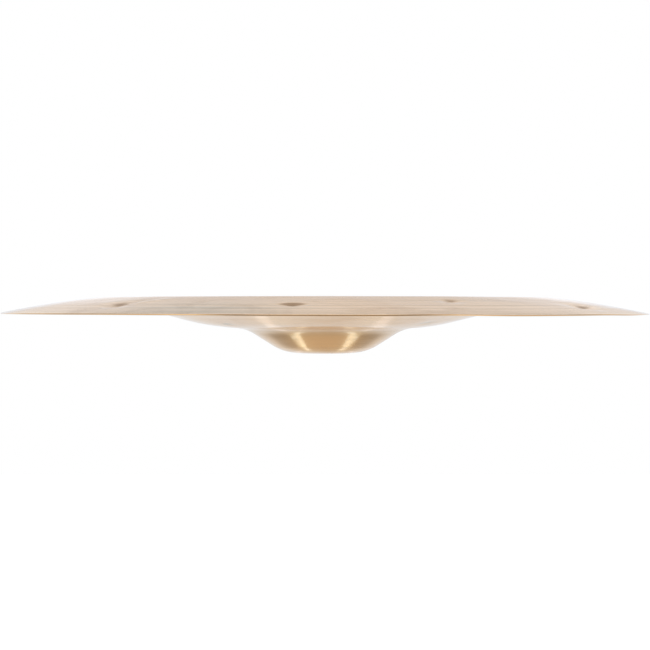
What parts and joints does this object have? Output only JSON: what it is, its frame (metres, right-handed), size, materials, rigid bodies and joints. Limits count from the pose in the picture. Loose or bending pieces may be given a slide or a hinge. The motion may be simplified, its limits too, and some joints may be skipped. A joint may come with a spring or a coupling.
{
  "type": "crash cymbal",
  "caption": "Thin hammered bronze disc with a flat-topped bell, a central hole, a gently rising bow, a rounded ridge and a reversed rim flange.",
  "frame": {"origin": "centre of the hole, on the outer face of the bell, which the cymbal lies on", "axes": "+Z along the axis of the hole, from the bell towards the rim; +X and +Y lie in the plane of the bell's flat"},
  "size_m": [0.4572, 0.4572, 0.0395],
  "materials": {
    "bronze": "lathed and hand hammered, brilliant"
  },
  "bodies": {
    "root": {"cymbal": "bronze"}
  },
  "joints": []
}
